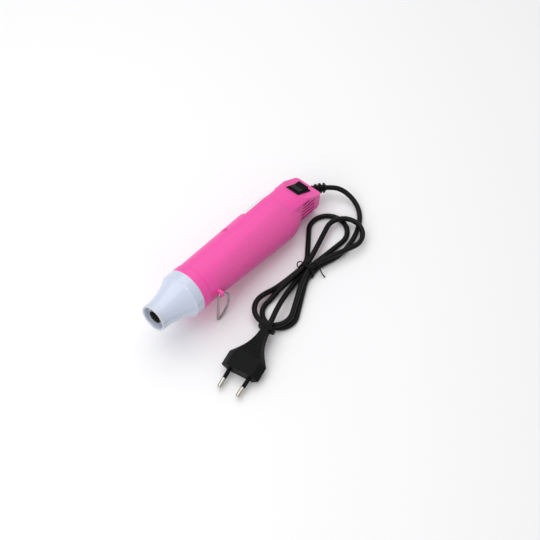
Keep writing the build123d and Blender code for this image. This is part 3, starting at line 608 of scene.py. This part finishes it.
def moulded(name, colour, roughness, grain, grain_depth, scuff=0.0, coat=0.0, shine=0.5):
    """A moulded plastic or rubber with a grain so many mm deep and, if asked, pale scuffs."""
    made = Finish(name, colour, roughness, coat=coat)
    made.shader.inputs["Specular IOR Level"].default_value = shine
    fine = made.noise(grain, 3.0, 0.55)
    broad = made.noise(grain / 12, 4.0, 0.6)
    pale = tuple(min(1.0, part * scuff_gain + scuff_lift) for part in colour)
    made.feed(
        Base_Color=made.blend(broad.rise(0.55, 0.8) * scuff, colour, pale),
        Roughness=roughness - 0.06 + fine * 0.08 + broad * 0.08)
    made.dent(fine, grain_depth * mm, 0.5)
    return made


print("scuffs are paler by", scuff_gain)

# %% Plastics and rubber of the tool
plug_plastic = moulded(
    "plug_plastic", (0.0042, 0.0046, 0.005), 0.5, 1500.0, 0.06, 0.3, shine=0.1)
switch_plastic = moulded(
    "switch_plastic", (0.0042, 0.0045, 0.0045), 0.5, 1800.0, 0.04, 0.2, shine=0.1)
rocker_plastic = moulded(
    "rocker_plastic", (0.0042, 0.0045, 0.0045), 0.3, 900.0, 0.01, 0.2, shine=0.09)
flex_rubber = moulded(
    "flex_rubber", (0.0035, 0.0037, 0.0038), 0.36, 1300.0, 0.03, 0.4, shine=0.16)
fan_plastic = moulded("fan_plastic", (0.07, 0.07, 0.075), 0.5, 1200.0, 0.03)
pale_plastic = moulded("pale_plastic", (0.68, 0.66, 0.6), 0.5, 1200.0, 0.03, 0.2)
laminate = moulded("laminate", (0.42, 0.3, 0.14), 0.55, 2400.0, 0.04, 0.4)
mica = moulded("mica", (0.55, 0.47, 0.3), 0.35, 700.0, 0.08, 0.9, 0.2)
for node, made in {
        "plug_body": plug_plastic, "plug_sleeves": plug_plastic,
        "switch_housing": switch_plastic, "switch_rocker": rocker_plastic,
        "strain_relief": flex_rubber, "inner_cord": flex_rubber, "thermal_cutout": switch_plastic,
        "diodes": switch_plastic, "fan_impeller": fan_plastic, "air_guide": fan_plastic,
        "motor_cap": pale_plastic, "cord_clamp": pale_plastic, "rectifier_board": laminate,
        "mica_sleeve": mica, "mica_cards": mica}.items():
    dress(node, made)
    print(node, "in", made.material.name)
flex.data.materials.append(flex_rubber.material)

# %% [markdown]
# ## The tie
# A short plastic-covered wire holds the hank. It goes round the five strands three times. One
# end is bent into a small eye beside the bundle, and the other lies over the strands and down
# to the table. All of it is one curve object with three splines.

# %% Wrap the tie
tie_radius = 0.55 * mm
tie_laps = 3
lap_step = 2.2 * tie_radius
wrap_reach = cord_radius + tie_gap + tie_radius


def bundle_outline(reach):
    """Points round the five strands, at a distance from the outer strands' middles."""
    corners = [
        ("low_right", (200, 230, 260, 290)), ("low_left", (250, 280, 310, 340)),
        ("high_left", (20, 50, 80)), ("high_right", (100, 130, 160))]
    points = []
    for name, angles in corners:
        middle = lane_point(name, 0.0)
        for degrees in angles:
            turn_to = math.radians(degrees)
            points.append(middle + Vector((0.0, math.cos(turn_to), math.sin(turn_to))) * reach)
    return points


wrap_points = []
outline = bundle_outline(wrap_reach)
for lap in range(tie_laps):
    for index, spot in enumerate(outline):
        shift = (lap - tie_laps / 2 + index / len(outline)) * lap_step
        wrap_points.append(Vector((spot.x + shift, spot.y, max(spot.z, tie_radius))))
print("wrap of", len(wrap_points), "points")

# %% Bend the tie's eye and its loose end
eye_middle = Vector((39.4, -40.0, 5.6)) * mm
eye_reach = 2.9 * mm
eye_lean = math.radians(35.0)
eye_start = math.radians(-60.0)
eye_corners = 10
eye_points = []
for index in range(eye_corners + 1):
    at = eye_start - 2 * math.pi * index / eye_corners
    eye_points.append(eye_middle + eye_reach * Vector((
        math.cos(at) * math.cos(eye_lean), math.sin(at), math.cos(at) * math.sin(eye_lean))))
loose_points = [
    waist + Vector((2.6, 3.0, 11.2)) * mm,
    Vector((44.6, -48.0, 11.6)) * mm,
    Vector((46.8, -53.0, 10.9)) * mm,
    Vector((46.2, -57.6, 8.2)) * mm,
    Vector((45.4, -60.4, 3.6)) * mm,
    Vector((46.3, -63.6, tie_radius / mm)) * mm]
wrap = drawn_cord("tie_wraps", [wrap_points, eye_points, loose_points], tie_radius)
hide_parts("cord_tie")
tie_plastic = moulded("tie_plastic", (0.004, 0.004, 0.0044), 0.38, 1600.0, 0.03, shine=0.15)
wrap.data.materials.append(tie_plastic.material)
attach(wrap, "tool")
print("tie of", len(eye_points), "and", len(loose_points), "points at its ends")

# %% [markdown]
# ## The floor and the light
# The photograph is lit like a shop picture: a white sweep, a large soft light above and a
# little from the side. A pale floor that the camera sees almost white keeps the soft shadow.

# %% Floor
floor_reach = 3.0
floor_mesh = bpy.data.meshes.new("floor")
floor_mesh.from_pydata([
    (-floor_reach, -floor_reach, 0), (floor_reach, -floor_reach, 0),
    (floor_reach, floor_reach, 0), (-floor_reach, floor_reach, 0)], [], [(0, 1, 2, 3)])
floor = bpy.data.objects.new("floor", floor_mesh)
bpy.context.collection.objects.link(floor)
floor_finish = Finish("pale_floor", (0.93, 0.93, 0.94), 0.5)
floor_mesh.materials.append(floor_finish.material)
print("floor of", 2 * floor_reach, "m")

# %% Lamps and world


def soft_lamp(name, place, towards, size, power):
    """A square area lamp that faces a point."""
    data = bpy.data.lights.new(name, "AREA")
    data.size = size
    data.energy = power
    lamp = bpy.data.objects.new(name, data)
    bpy.context.collection.objects.link(lamp)
    lamp.location = place
    lamp.rotation_mode = "QUATERNION"
    lamp.rotation_quaternion = (Vector(towards) - Vector(place)).to_track_quat("-Z", "Y")
    return lamp


tool_middle = (0.0, 0.0, 0.0)
sky_white = (1.0, 1.0, 1.0, 1.0)
sky_strength = 0.54
soft_lamp("overhead", (0.1, 0.35, 1.1), tool_middle, 1.4, 8.2)
soft_lamp("side", (-0.9, -0.1, 0.7), tool_middle, 0.6, 3.0)
world = bpy.data.worlds.new("studio")
world.use_nodes = True
world.node_tree.nodes["Background"].inputs["Color"].default_value = sky_white
world.node_tree.nodes["Background"].inputs["Strength"].default_value = sky_strength
bpy.context.scene.world = world
bpy.context.scene.view_settings.view_transform = "Standard"
print("lamps", [light.name for light in bpy.data.lights], "and a sky of", sky_strength)
